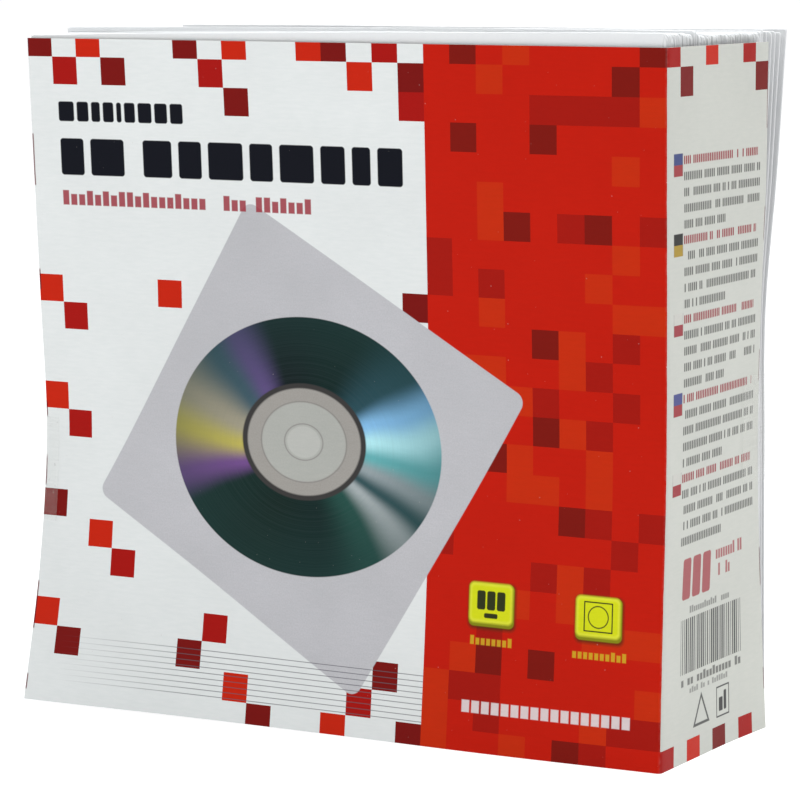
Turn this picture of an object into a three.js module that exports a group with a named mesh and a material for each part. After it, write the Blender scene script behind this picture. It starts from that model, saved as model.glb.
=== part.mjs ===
// A multipack of one hundred paper disc envelopes, standing on their edges.
// A printed card folded to an L covers the front and the right side, and one
// strip of clear tape runs from the front's left edge round the back to the
// rear edge of the side panel. Millimetres, +Z up, the front faces -Y.
// The origin is at the middle of the bottom of the pack's box.
import * as THREE from "three";

// ---- driving dimensions -------------------------------------------------

// printed card
const CARD_WIDTH = 125; // front panel, fold to left edge
const CARD_DEPTH = 40; // side panel, fold to rear edge
const CARD_HEIGHT = 122;
const CARD_THICKNESS = 0.35;
const CARD_LIFT = 0.1; // the envelopes carry the pack, the card hangs just clear
const FOLD_RADIUS = 0.8;
const CORNER_LIFT = 0.8; // the swelling lifts the lower left corner off the table

// envelopes
const ENVELOPES = 100;
const ENVELOPE_WIDTH = 124.5;
const ENVELOPE_HEIGHT = [124.95, 124.35]; // along the paper, which bows: first, last
const TOP_SLOPE = [0.6, 1.1]; // how much lower the top is at the left: first, last
const PROUD = [25, 29, 0.5, 0.1]; // a few that stand proud: from, to, rise, slope
const LOOSE_RISE = 0.25; // the loose ones at the rear stand a little higher
const LAST_RISE = 1.1; // and the last one higher still
const PAPER = 0.11; // one ply
const POCKET = 0.11; // slack between the two plies
const LEAF_THICKNESS = 0.32; // a pressed envelope: two plies and the seam allowance
const WINDOW_RADIUS = 50;
const SEAM = 6; // glued side seams and bottom fold
const FLAP_DEPTH = 34;
const FILM_OVERLAP = 3; // film glued behind the rim of the window
const FILM_THICKNESS = 0.04;
const LOOSE = 5; // rearmost envelopes that fan out at the top
const LOOSE_PITCH = 0.44;
const FRONT_GAP = 0.4; // card to first envelope
const FIRST_LEAF = 2.15; // card face to second envelope
const LAST_GAP = 0.5; // slack before the last envelope
const SINGLES_FRONT = 26; // envelopes 2..27 are separate leaves
const SINGLES_REAR = 27; // envelopes 73..99 are separate leaves
const FIRST_PRESSED = SINGLES_FRONT + 1; // the rest are pressed to one block
const LAST_PRESSED = ENVELOPES - 2 - SINGLES_REAR;

// clear tape
const TAPE_WIDTH = 19;
const TAPE_THICKNESS = 0.08;
const TAPE_CLEAR = 0.3;
const TAPE_ON_FRONT = 3;
const TAPE_ON_SIDE = 8;
const TAPE_Z_LEFT = 42.7; // middle of the strip at its left end
const TAPE_Z_RIGHT = 54.2; // and at its right end: it runs a little askew

// box of the finished pack, which places the origin
const BOX_X = [-125.87, 4.98];
const BOX_Y = [-9.4, 52.82];

// ---- the bowed surfaces -------------------------------------------------
// The strip pinches the pack at about a third of its height, and it swells
// above and below. Each table gives millimetres at equal steps of height from
// the card's top edge (first column) to its bottom edge (last column).

// x of the fold line
const FOLD_X = [-0.58, -0.66, -0.46, 0.44, 0.71, 1.28];
// y of the front panel, from the fold (first row) to the left edge (last row)
const FRONT_Y = [
  [-0.47, 0.43, 0.74, -1.03, -2.45, -4.46],
  [-1.09, -0.26, 0.49, -0.5, -2.27, -5.41],
  [-1.19, 0.7, 1.23, -0.31, -1.96, -5.51],
  [-1.25, 0.78, 1.31, 0.16, -1.51, -6.62],
  [-2.3, -0.6, 0.7, 0.75, -2.7, -9.4],
];
// x of the side panel, from the fold to its rear edge
const SIDE_X = [
  FOLD_X,
  [0.1, -0.01, 0.21, 0.74, 1.2, 2.27],
  [0.86, 0.65, 0.61, 1.06, 1.93, 3.31],
  [1.92, 1.54, 0.81, 1.32, 2.85, 4.98],
];
// y behind the tightly packed envelopes: right, middle, left
const PACKED_Y = [
  [43.5, 42.3, 41.2, 40.1, 40.3, 40.0],
  [43.2, 42.2, 41.5, 40.6, 40.5, 40.4],
  [42.5, 42.0, 41.4, 40.8, 40.6, 40.6],
];
// y of the back of the rearmost envelope: right, middle, left
const REAR_Y = [
  [52.6, 49.3, 44.3, 42.7, 42.9, 42.6],
  [51.5, 48.4, 44.5, 43.2, 43.1, 43.0],
  [50.0, 47.5, 44.4, 43.4, 43.2, 43.2],
];

// a smooth curve through equally spaced values, t from 0 to 1
function through(values, t) {
  const n = values.length - 1;
  const i = Math.min(Math.max(Math.floor(t * n), 0), n - 1);
  const u = t * n - i;
  const b = values[i],
    c = values[i + 1];
  const a = i > 0 ? values[i - 1] : 2 * b - c;
  const d = i < n - 1 ? values[i + 2] : 2 * c - b;
  return (
    b +
    0.5 *
      u *
      (c - a + u * (2 * a - 5 * b + 4 * c - d + u * (3 * (b - c) + d - a)))
  );
}

// a smooth surface through a table, s across the rows, w along the columns
const across = (table, s, w) =>
  through(
    table.map((row) => through(row, w)),
    s,
  );

const heightToW = (z) => 1 - (z - CARD_LIFT) / CARD_HEIGHT;
const cornerwards = (x, w) => Math.min(Math.max(along(x, w), 0), 1);
const wToHeight = (w) => CARD_LIFT + CARD_HEIGHT * (1 - w);
const foldX = (w) => through(FOLD_X, w);
const lean = (w) => foldX(w) - FOLD_X[0];
const along = (x, w) => (foldX(w) - x) / CARD_WIDTH;
const frontY = (x, z) => across(FRONT_Y, along(x, heightToW(z)), heightToW(z));
const packedY = (x, z) =>
  across(PACKED_Y, along(x, heightToW(z)), heightToW(z));
const rearY = (x, z) => across(REAR_Y, along(x, heightToW(z)), heightToW(z));

// y of the front face of envelope i (0 is the first)
function leafY(i, x, z) {
  const front = frontY(x, z);
  if (i === 0) return front + CARD_THICKNESS + FRONT_GAP + PAPER + 0.03;
  const packed = packedY(x, z);
  const tight = ENVELOPES - LOOSE;
  if (i < tight)
    return (
      front +
      FIRST_LEAF +
      ((i - 1) * (packed - front - FIRST_LEAF)) / (tight - 1)
    );
  const fan = Math.max(
    0,
    rearY(x, z) -
      packed -
      (LOOSE - 1) * LOOSE_PITCH -
      LAST_GAP -
      (2 * PAPER + POCKET),
  );
  return (
    packed +
    (i - tight) * LOOSE_PITCH +
    (i === ENVELOPES - 1 ? LAST_GAP : 0) +
    (fan * (i - tight + 1)) / LOOSE
  );
}

// a repeatable number from 0 to 1 for envelope i
const scatter = (i, salt) => {
  const v = Math.sin(i * 12.9898 + salt * 78.233) * 43758.5453;
  return v - Math.floor(v);
};

// x of the right edge of envelope i at the top
function rightEdge(i) {
  const q = i / (ENVELOPES - 1);
  const inCard = -1.12 + 0.85 * Math.min(q / 0.92, 1);
  const loose = Math.max(0, i - (ENVELOPES - LOOSE - 1)) / LOOSE;
  return inCard - 0.25 * scatter(i, 1) + 0.77 * loose;
}

const isProud = (i) => i >= PROUD[0] && i <= PROUD[1];
const leafHeight = (i) =>
  ENVELOPE_HEIGHT[0] +
  (ENVELOPE_HEIGHT[1] - ENVELOPE_HEIGHT[0]) * Math.min(i / 40, 1) -
  0.35 * scatter(Math.floor(i / 7), 2) -
  0.25 * scatter(i, 3) +
  (isProud(i) ? PROUD[2] : 0) +
  (i === ENVELOPES - 1
    ? LAST_RISE
    : i >= ENVELOPES - LOOSE - 1
      ? LOOSE_RISE
      : 0);
// the top edge falls away to the left
const topAt = (i, px) => {
  const q = i / (ENVELOPES - 1);
  const slope = isProud(i)
    ? PROUD[3]
    : TOP_SLOPE[0] + (TOP_SLOPE[1] - TOP_SLOPE[0]) * q;
  return leafHeight(i) - slope * (0.5 - px / ENVELOPE_WIDTH);
};

// height above the table reached by going the distance a up the bowed paper
function climb(i, x, start, a) {
  const steps = Math.max(1, Math.ceil(a / 4));
  let z = start;
  for (let n = 0; n < steps; n++) {
    const slope = (leafY(i, x, z + 2) - leafY(i, x, z)) / 2;
    z += a / steps / Math.sqrt(1 + slope * slope);
  }
  return z;
}

// the point of envelope i at px, pz from its own middle, n behind its front
function onLeaf(i, px, pz, n) {
  const height = leafHeight(i);
  const s = 0.5 - px / ENVELOPE_WIDTH;
  const start = CORNER_LIFT * s ** 3 * Math.max(0, 1 - i / FIRST_PRESSED) ** 2;
  const a = ((pz + height / 2) * (topAt(i, px) - start)) / height;
  const x0 = rightEdge(i) - ENVELOPE_WIDTH / 2 + px;
  const w = 1 - a / height;
  const x = x0 + lean(w);
  const z = climb(i, x, start, a);
  return [x, leafY(i, x, z) + n, z];
}

// ---- meshes -------------------------------------------------------------

function meshOf(name, points, triangles, material) {
  const used = new Map();
  const flat = [];
  const index = [];
  for (const t of triangles) {
    if (t[0] === t[1] || t[1] === t[2] || t[0] === t[2]) continue;
    for (const v of t) {
      if (!used.has(v)) {
        used.set(v, flat.length / 3);
        flat.push(...points(v));
      }
      index.push(used.get(v));
    }
  }
  // turned the other way round if the faces point inwards
  let volume = 0;
  const p = (k) => new THREE.Vector3(...flat.slice(3 * k, 3 * k + 3));
  for (let k = 0; k < index.length; k += 3)
    volume += p(index[k]).dot(p(index[k + 1]).cross(p(index[k + 2])));
  if (volume < 0)
    for (let k = 0; k < index.length; k += 3)
      [index[k], index[k + 1]] = [index[k + 1], index[k]];
  const geometry = new THREE.BufferGeometry();
  geometry.setAttribute(
    "position",
    new THREE.BufferAttribute(new Float32Array(flat), 3),
  );
  geometry.setIndex(index);
  geometry.computeVertexNormals();
  const mesh = new THREE.Mesh(geometry, material);
  mesh.name = name;
  return mesh;
}

// A solid made of cells of a bent grid with na x nb x nc cells. solid(a, b, c)
// says which cells are filled, vertex(a, b, c) names a corner and place gives
// its position. Only faces between filled and empty cells are kept.
function cells(name, [na, nb, nc], solid, vertex, place, material) {
  const full = (a, b, c) =>
    b >= 0 && b < nb && c >= 0 && c < nc && solid(a, b, c);
  const faces = [
    [[-1, 0, 0], [[0, 0, 0], [0, 0, 1], [0, 1, 1], [0, 1, 0]]],
    [[1, 0, 0], [[1, 0, 0], [1, 1, 0], [1, 1, 1], [1, 0, 1]]],
    [[0, -1, 0], [[0, 0, 0], [1, 0, 0], [1, 0, 1], [0, 0, 1]]],
    [[0, 1, 0], [[0, 1, 0], [0, 1, 1], [1, 1, 1], [1, 1, 0]]],
    [[0, 0, -1], [[0, 0, 0], [0, 1, 0], [1, 1, 0], [1, 0, 0]]],
    [[0, 0, 1], [[0, 0, 1], [1, 0, 1], [1, 1, 1], [0, 1, 1]]],
  ];
  const triangles = [];
  for (let a = 0; a < na; a++)
    for (let b = 0; b < nb; b++)
      for (let c = 0; c < nc; c++) {
        if (!full(a, b, c)) continue;
        for (const [[da, db, dc], corners] of faces) {
          if (full(a + da, b + db, c + dc)) continue;
          const v = corners.map(([i, j, k]) => vertex(a + i, b + j, c + k));
          triangles.push([v[0], v[1], v[2]], [v[0], v[2], v[3]]);
        }
      }
  return meshOf(name, place, triangles, material);
}

// a plain block of cells, a x b x c, all filled
function slab(name, [na, nb, nc], place, material) {
  const key = (a, b, c) => (a * (nb + 1) + b) * (nc + 1) + c;
  const inRange = (a) => a >= 0 && a < na;
  return cells(
    name,
    [na, nb, nc],
    (a) => inRange(a),
    key,
    (k) =>
      place(
        Math.floor(k / ((nb + 1) * (nc + 1))) / na,
        (Math.floor(k / (nc + 1)) % (nb + 1)) / nb,
        (k % (nc + 1)) / nc,
      ),
    material,
  );
}

// ---- materials ----------------------------------------------------------

const coated = () =>
  new THREE.MeshStandardMaterial({
    color: 0xb5281a,
    roughness: 0.35,
    metalness: 0,
    side: THREE.DoubleSide,
  });
const paper = () =>
  new THREE.MeshStandardMaterial({
    color: 0xe9edf2,
    roughness: 0.8,
    metalness: 0,
  });
const film = () =>
  new THREE.MeshStandardMaterial({
    color: 0xf2f6fa,
    roughness: 0.08,
    metalness: 0,
    transparent: true,
    opacity: 0.35,
  });
const clear = () =>
  new THREE.MeshStandardMaterial({
    color: 0xf4f4ee,
    roughness: 0.15,
    metalness: 0,
    transparent: true,
    opacity: 0.3,
  });

const pack = new THREE.Group();

// ---- the printed card ---------------------------------------------------
// The outline of the card's outer face seen from above at w, as points from
// the left edge of the front, round the fold, to the rear edge of the side.
const FRONT_STEPS = 9,
  FOLD_STEPS = 4,
  SIDE_STEPS = 4,
  CARD_ROWS = 10;
const cardFront = (s, w) => [
  foldX(w) - CARD_WIDTH * s,
  across(FRONT_Y, s, w),
];
const cardSide = (t, w) => [
  across(SIDE_X, t, w),
  CARD_DEPTH * t + through(FRONT_Y[0], w),
];
function cardOutline(w) {
  const line = [];
  const s0 = FOLD_RADIUS / CARD_WIDTH,
    t0 = FOLD_RADIUS / CARD_DEPTH;
  for (let n = 0; n <= FRONT_STEPS; n++)
    line.push(cardFront(1 + (s0 - 1) * (n / FRONT_STEPS), w));
  const a = cardFront(s0, w),
    b = [foldX(w), through(FRONT_Y[0], w)],
    c = cardSide(t0, w);
  for (let n = 1; n < FOLD_STEPS; n++) {
    const u = n / FOLD_STEPS;
    line.push(
      [0, 1].map(
        (k) => (1 - u) ** 2 * a[k] + 2 * u * (1 - u) * b[k] + u * u * c[k],
      ),
    );
  }
  for (let n = 0; n <= SIDE_STEPS; n++)
    line.push(cardSide(t0 + ((1 - t0) * n) / SIDE_STEPS, w));
  return line;
}
const outlines = Array.from({ length: CARD_ROWS + 1 }, (_, r) =>
  cardOutline(r / CARD_ROWS),
);
const CARD_COLUMNS = outlines[0].length - 1;
pack.add(
  slab(
    "card_wrap",
    [CARD_COLUMNS, CARD_ROWS, 1],
    (u, v, n) => {
      const line = outlines[Math.round(v * CARD_ROWS)];
      const k = Math.round(u * CARD_COLUMNS);
      const before = line[Math.max(k - 1, 0)],
        after = line[Math.min(k + 1, CARD_COLUMNS)];
      const tx = after[0] - before[0],
        ty = after[1] - before[1];
      const size = Math.hypot(tx, ty);
      // the inside of the card is to the left of the way the outline runs
      return [
        line[k][0] - (ty / size) * CARD_THICKNESS * n,
        line[k][1] + (tx / size) * CARD_THICKNESS * n,
        wToHeight(v) + CORNER_LIFT * (cornerwards(line[k][0], v) * v) ** 3,
      ];
    },
    coated(),
  ),
);

// ---- the first and the last envelope, with their true folds --------------
// Cells run round the middle (a), outwards (b) and from front to back (c).
// The flap is folded down over the front, the window looks to the rear.
const AROUND = 32; // 11.25 degrees a step
const half = ENVELOPE_WIDTH / 2;
const square = (h) => (c, s) => h / Math.max(Math.abs(c), Math.abs(s));
const circle = (r) => () => r;
const between = (f, g, u) => (c, s) => f(c, s) * (1 - u) + g(c, s) * u;
const RIM = circle(WINDOW_RADIUS);
const SEAM_LINE = square(half - SEAM);
const RINGS = [
  circle(0),
  square((half - FLAP_DEPTH) / 2),
  square(half - FLAP_DEPTH),
  between(square(half - FLAP_DEPTH), RIM, 0.5),
  RIM,
  between(RIM, SEAM_LINE, 0.5 * (FILM_OVERLAP / 3)),
  SEAM_LINE,
  square(half - 1.0),
  square(half - 0.55),
  (c, s) =>
    square(half)(c, s) -
    (Math.abs(Math.abs(c) - Math.abs(s)) < 0.01 ? 0.7 : 0),
];
const LAST = RINGS.length - 2; // the outermost ring of cells
const LAYERS = [
  -PAPER - 0.03,
  -0.03,
  0,
  PAPER,
  PAPER + POCKET,
  2 * PAPER + POCKET,
];
const isTop = (a) => {
  const k = ((a % AROUND) + AROUND) % AROUND;
  return k >= AROUND / 8 && k < (3 * AROUND) / 8;
};
function paperAt(a, b, c) {
  const top = isTop(a);
  if (c === 0) return top && b >= 2; // flap
  if (c === 1) return top && b === LAST; // its fold at the top edge
  if (c === 2) return !(top && b === LAST - 1); // plain panel
  if (c === 3) return top ? b === LAST : b >= 6; // seams and bottom fold
  return b >= 4; // panel with the window
}
const ringKey = (depth) => (a, b, c) =>
  b === 0
    ? c
    : depth + ((((a % AROUND) + AROUND) % AROUND) * RINGS.length + b) * depth + c;
function ringPlace(i, layers) {
  const depth = layers.length;
  return (key) => {
    let a = 0,
      b = 0,
      c = key;
    if (key >= depth) {
      c = key % depth;
      b = (Math.floor(key / depth) - 1) % RINGS.length;
      a = Math.floor((Math.floor(key / depth) - 1) / RINGS.length);
    }
    const angle = (2 * Math.PI * a) / AROUND;
    const cos = Math.cos(angle),
      sin = Math.sin(angle);
    const r = RINGS[b](cos, sin);
    const tall = leafHeight(i) / ENVELOPE_WIDTH; // height over width
    const round = b > 0 && b <= 5 ? 1 : tall;
    return onLeaf(i, r * cos, r * sin * round, layers[c]);
  };
}
function openEnvelope(i, name) {
  pack.add(
    cells(
      name,
      [AROUND, RINGS.length - 1, LAYERS.length - 1],
      paperAt,
      ringKey(LAYERS.length),
      ringPlace(i, LAYERS),
      paper(),
    ),
  );
  const sheet = [
    PAPER + POCKET - 0.015 - FILM_THICKNESS,
    PAPER + POCKET - 0.015,
  ];
  pack.add(
    cells(
      name + "_window_film",
      [AROUND, 5, 1],
      () => true,
      ringKey(sheet.length),
      ringPlace(i, sheet),
      film(),
    ),
  );
}

// ---- the other envelopes ------------------------------------------------
const LEAF_COLUMNS = 3,
  LEAF_ROWS = 8;
const label = (i) => "envelope_" + String(i + 1).padStart(3, "0");
const leafPoint = (i, u, v, n) =>
  onLeaf(i, (u - 0.5) * ENVELOPE_WIDTH, (v - 0.5) * leafHeight(i), n);

function leaf(i) {
  pack.add(
    slab(
      label(i),
      [LEAF_COLUMNS, LEAF_ROWS, 1],
      (u, v, n) => leafPoint(i, u, v, n * LEAF_THICKNESS),
      paper(),
    ),
  );
}

openEnvelope(0, label(0));
for (let i = 1; i <= SINGLES_FRONT; i++) leaf(i);
// the tightly pressed middle of the pack is one solid, like a book's pages
const PRESSED_STEPS = 4;
pack.add(
  slab(
    "envelope_block_" +
      String(FIRST_PRESSED + 1).padStart(3, "0") +
      "_to_" +
      String(LAST_PRESSED + 1).padStart(3, "0"),
    [LEAF_COLUMNS, LEAF_ROWS, PRESSED_STEPS],
    (u, v, n) => {
      const i = Math.round(
        FIRST_PRESSED + n * (LAST_PRESSED - FIRST_PRESSED),
      );
      return leafPoint(i, u, v, n === 1 ? LEAF_THICKNESS : 0);
    },
    paper(),
  ),
);
for (let i = ENVELOPES - 1 - SINGLES_REAR; i < ENVELOPES - 1; i++) leaf(i);
openEnvelope(ENVELOPES - 1, label(ENVELOPES - 1));

// ---- the clear tape -----------------------------------------------------
// Way of the strip seen from above at height z: on the front, past the left
// edge, along the open side, round the back, and onto the side panel.
function tapeWay(z) {
  const w = heightToW(z);
  const last = ENVELOPES - 1;
  const left = cardFront(1, w),
    leftBack = rightEdge(last) - ENVELOPE_WIDTH + lean(w) - 1.35,
    right = rightEdge(last) + lean(w) + TAPE_CLEAR;
  const way = [];
  for (let n = 0; n <= 1; n++) {
    const p = cardFront(1 - (TAPE_ON_FRONT / CARD_WIDTH) * (1 - n * 0.9), w);
    way.push([p[0], p[1] - TAPE_CLEAR]);
  }
  const corner = [left[0] - 0.42, left[1] + 0.1];
  const back = [leftBack, rearY(leftBack, z) - 0.4];
  for (let n = 0; n <= 4; n++)
    way.push([
      corner[0] + ((back[0] - corner[0]) * n) / 4,
      corner[1] + ((back[1] - corner[1]) * n) / 4,
    ]);
  for (let n = 0; n <= 12; n++) {
    const x = leftBack + 1 + ((right - 0.3 - leftBack - 1) * n) / 12;
    way.push([x, rearY(x, z) + TAPE_CLEAR]);
  }
  way.push([right + 0.1, rearY(right, z) - 0.3]);
  for (let n = 0; n <= 3; n++) {
    const p = cardSide(1 - (TAPE_ON_SIDE / CARD_DEPTH) * (n / 3), w);
    way.push([p[0] + TAPE_CLEAR + (n === 0 ? 0.1 : 0), p[1]]);
  }
  return way;
}
const TAPE_STATIONS = tapeWay(TAPE_Z_LEFT).length - 1;
const TAPE_ROWS = 3;
const reach = (() => {
  // share of the strip's length at each station
  const way = tapeWay((TAPE_Z_LEFT + TAPE_Z_RIGHT) / 2);
  const sum = [0];
  for (let k = 1; k < way.length; k++)
    sum.push(
      sum[k - 1] +
        Math.hypot(way[k][0] - way[k - 1][0], way[k][1] - way[k - 1][1]),
    );
  return sum.map((v) => v / sum[sum.length - 1]);
})();
pack.add(
  slab(
    "tape_strip",
    [TAPE_STATIONS, TAPE_ROWS, 1],
    (u, v, n) => {
      const k = Math.round(u * TAPE_STATIONS);
      const z =
        TAPE_Z_LEFT +
        (TAPE_Z_RIGHT - TAPE_Z_LEFT) * reach[k] +
        (v - 0.5) * TAPE_WIDTH;
      const way = tapeWay(z);
      const before = way[Math.max(k - 1, 0)],
        after = way[Math.min(k + 1, TAPE_STATIONS)];
      const tx = after[0] - before[0],
        ty = after[1] - before[1];
      const size = Math.hypot(tx, ty);
      // outwards is to the left of the way the strip runs
      return [
        way[k][0] - (ty / size) * TAPE_THICKNESS * n,
        way[k][1] + (tx / size) * TAPE_THICKNESS * n,
        z,
      ];
    },
    clear(),
  ),
);

// ---- the finished pack --------------------------------------------------
pack.position.set(
  -(BOX_X[0] + BOX_X[1]) / 2,
  -(BOX_Y[0] + BOX_Y[1]) / 2,
  0,
);

export default pack;
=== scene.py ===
import math

import bmesh
import bpy
import numpy as np
from mathutils import Matrix, Vector


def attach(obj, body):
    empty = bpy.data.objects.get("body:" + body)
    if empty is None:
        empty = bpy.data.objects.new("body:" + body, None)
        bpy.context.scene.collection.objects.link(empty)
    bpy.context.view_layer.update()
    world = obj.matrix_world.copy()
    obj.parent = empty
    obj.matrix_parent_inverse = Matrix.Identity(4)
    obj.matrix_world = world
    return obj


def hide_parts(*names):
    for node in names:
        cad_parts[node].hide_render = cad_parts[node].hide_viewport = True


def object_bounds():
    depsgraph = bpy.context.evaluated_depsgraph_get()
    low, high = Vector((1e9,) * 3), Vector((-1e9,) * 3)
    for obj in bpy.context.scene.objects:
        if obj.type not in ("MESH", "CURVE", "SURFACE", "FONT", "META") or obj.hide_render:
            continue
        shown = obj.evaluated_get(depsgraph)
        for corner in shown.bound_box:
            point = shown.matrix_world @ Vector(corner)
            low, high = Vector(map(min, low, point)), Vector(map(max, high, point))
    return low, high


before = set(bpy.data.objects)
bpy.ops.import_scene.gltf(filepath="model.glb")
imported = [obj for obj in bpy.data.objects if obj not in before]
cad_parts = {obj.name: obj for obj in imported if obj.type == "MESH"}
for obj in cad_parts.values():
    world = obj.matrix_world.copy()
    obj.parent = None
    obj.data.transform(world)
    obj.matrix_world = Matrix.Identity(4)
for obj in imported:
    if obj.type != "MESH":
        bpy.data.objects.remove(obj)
cad_low, cad_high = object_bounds()

# ---- the camera, from the photograph's own perspective ----------------------
camera_data = bpy.data.cameras.new("camera")
camera_data.sensor_width = 36.0
camera_data.lens = 148.27
camera_data.clip_start, camera_data.clip_end = 0.02, 60.0
camera = bpy.data.objects.new("camera", camera_data)
bpy.context.scene.collection.objects.link(camera)
RIGHT = Vector((0.8896707, 0.456602, 0.0008316))
DOWN = Vector((0.0631517, -0.1212444, -0.9906118))
AHEAD = Vector((-0.4522144, 0.8813708, -0.1367028))
turn = Matrix((RIGHT, -DOWN, -AHEAD)).transposed().to_4x4()
camera.matrix_world = Matrix.Translation((0.2703890, -0.5293323, 0.1388386)) @ turn
bpy.context.scene.camera = camera

# ---- the pack's shape, in millimetres ---------------------------------------
CARD_WIDTH, CARD_DEPTH, CARD_HEIGHT = 125.0, 40.0, 122.0
CARD_THICKNESS, CARD_LIFT, FOLD_RADIUS, CORNER_LIFT = 0.35, 0.1, 0.8, 0.8
ENVELOPES, ENVELOPE_WIDTH = 100, 124.5
PAPER, POCKET, LEAF_THICKNESS = 0.11, 0.11, 0.32
WINDOW_RADIUS, FILM_OVERLAP, FLAP_DEPTH = 50.0, 3.0, 34.0
SHIFT = np.array([60.445, -21.71, 0.0])  # from the card's own fold to the part's frame, mm

FOLD_X = [-0.58, -0.66, -0.46, 0.44, 0.71, 1.28]
FRONT_Y = [
    [-0.47, 0.43, 0.74, -1.03, -2.45, -4.46],
    [-1.09, -0.26, 0.49, -0.5, -2.27, -5.41],
    [-1.19, 0.7, 1.23, -0.31, -1.96, -5.51],
    [-1.25, 0.78, 1.31, 0.16, -1.51, -6.62],
    [-2.3, -0.6, 0.7, 0.75, -2.7, -9.4],
]
SIDE_X = [
    FOLD_X,
    [0.1, -0.01, 0.21, 0.74, 1.2, 2.27],
    [0.86, 0.65, 0.61, 1.06, 1.93, 3.31],
    [1.92, 1.54, 0.81, 1.32, 2.85, 4.98],
]
PACKED_Y = [
    [43.5, 42.3, 41.2, 40.1, 40.3, 40.0],
    [43.2, 42.2, 41.5, 40.6, 40.5, 40.4],
    [42.5, 42.0, 41.4, 40.8, 40.6, 40.6],
]
REAR_Y = [
    [52.6, 49.3, 44.3, 42.7, 42.9, 42.6],
    [51.5, 48.4, 44.5, 43.2, 43.1, 43.0],
    [50.0, 47.5, 44.4, 43.4, 43.2, 43.2],
]


def through(values, t):
    """A smooth curve through evenly spaced values, at share t of its length."""
    t = np.atleast_1d(np.asarray(t, float))
    v = np.stack([np.broadcast_to(np.asarray(x, float), t.shape) for x in values])
    n = len(values) - 1
    i = np.clip(np.floor(t * n), 0, n - 1).astype(int)
    u = t * n - i
    at = lambda k: np.take_along_axis(v, k[None], 0)[0]
    b, c = at(i), at(i + 1)
    a = np.where(i > 0, at(np.maximum(i - 1, 0)), 2 * b - c)
    d = np.where(i < n - 1, at(np.minimum(i + 2, n)), 2 * c - b)
    return b + 0.5 * u * (c - a + u * (2 * a - 5 * b + 4 * c - d + u * (3 * (b - c) + d - a)))


def across(table, s, w):
    return through([through(row, w) for row in table], s)


def fold_x(w):
    return through(FOLD_X, w)


def lean(w):
    return fold_x(w) - FOLD_X[0]


def w_of(z):
    return 1 - (z - CARD_LIFT) / CARD_HEIGHT


def spread(table, x, z):
    w = w_of(z)
    return across(table, (fold_x(w) - x) / CARD_WIDTH, w)


class Ground:
    """One of the tables as heights over a 1 mm grid, read between its points."""

    def __init__(self, table):
        x, z = np.meshgrid(np.arange(-134.0, 8.5), np.arange(-3.0, 132.5), indexing="ij")
        self.grid = spread(table, x.ravel(), z.ravel()).reshape(x.shape)

    def __call__(self, x, z):
        a = np.clip(x + 134.0, 0, self.grid.shape[0] - 1.001)
        b = np.clip(z + 3.0, 0, self.grid.shape[1] - 1.001)
        i, j = a.astype(int), b.astype(int)
        a, b, g = a - i, b - j, self.grid
        low = g[i, j] * (1 - a) + g[i + 1, j] * a
        high = g[i, j + 1] * (1 - a) + g[i + 1, j + 1] * a
        return low * (1 - b) + high * b


FRONT, PACKED, REAR = Ground(FRONT_Y), Ground(PACKED_Y), Ground(REAR_Y)


def leaf_y(i, x, z):
    """Where envelope i, from 0 at the front, has its front face."""
    front = FRONT(x, z)
    if i == 0:
        return front + 0.35 + 0.4 + 0.11 + 0.03
    packed = PACKED(x, z)
    if i < 95:
        return front + 2.15 + (i - 1) * (packed - front - 2.15) / 94
    fan = np.maximum(0, REAR(x, z) - packed - 4 * 0.44 - 0.5 - 0.33)
    return packed + (i - 95) * 0.44 + (0.5 if i == 99 else 0) + fan * (i - 94) / 5


def scatter(i, salt):
    v = np.sin(i * 12.9898 + salt * 78.233) * 43758.5453
    return float(v - np.floor(v))


def right_edge(i):
    q = i / 99
    return -1.12 + 0.85 * min(q / 0.92, 1) - 0.25 * scatter(i, 1) + 0.77 * max(0, i - 94) / 5


def leaf_height(i):
    h = 124.95 - 0.6 * min(i / 40, 1) - 0.35 * scatter(i // 7, 2) - 0.25 * scatter(i, 3)
    if 25 <= i <= 29:
        h += 0.5
    return h + (1.1 if i == 99 else 0.25 if i >= 94 else 0)


def leaf_top(i, px):
    slope = 0.6 + 0.5 * i / 99
    if 25 <= i <= 29:
        slope = 0.1
    return leaf_height(i) - slope * (0.5 - px / ENVELOPE_WIDTH)


def on_leaf(i, px, pz, n):
    """The place of a point of envelope i: px, pz from its middle, n behind its front face, mm."""
    px, pz, n = (np.atleast_1d(np.asarray(v, float)) for v in np.broadcast_arrays(px, pz, n))
    h = leaf_height(i)
    s = 0.5 - px / ENVELOPE_WIDTH
    start = CORNER_LIFT * s**3 * max(0, 1 - i / 27) ** 2
    a = (pz + h / 2) * (leaf_top(i, px) - start) / h
    w = 1 - a / h
    x = right_edge(i) - ENVELOPE_WIDTH / 2 + px + lean(w)
    steps = np.maximum(1, np.ceil(a / 4))
    z = start.copy()
    for k in range(int(steps.max())):
        slope = (leaf_y(i, x, z + 2) - leaf_y(i, x, z)) / 2
        z = z + np.where(k < steps, a / steps / np.sqrt(1 + slope**2), 0)
    return np.stack([x, leaf_y(i, x, z) + n, z], -1)


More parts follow.
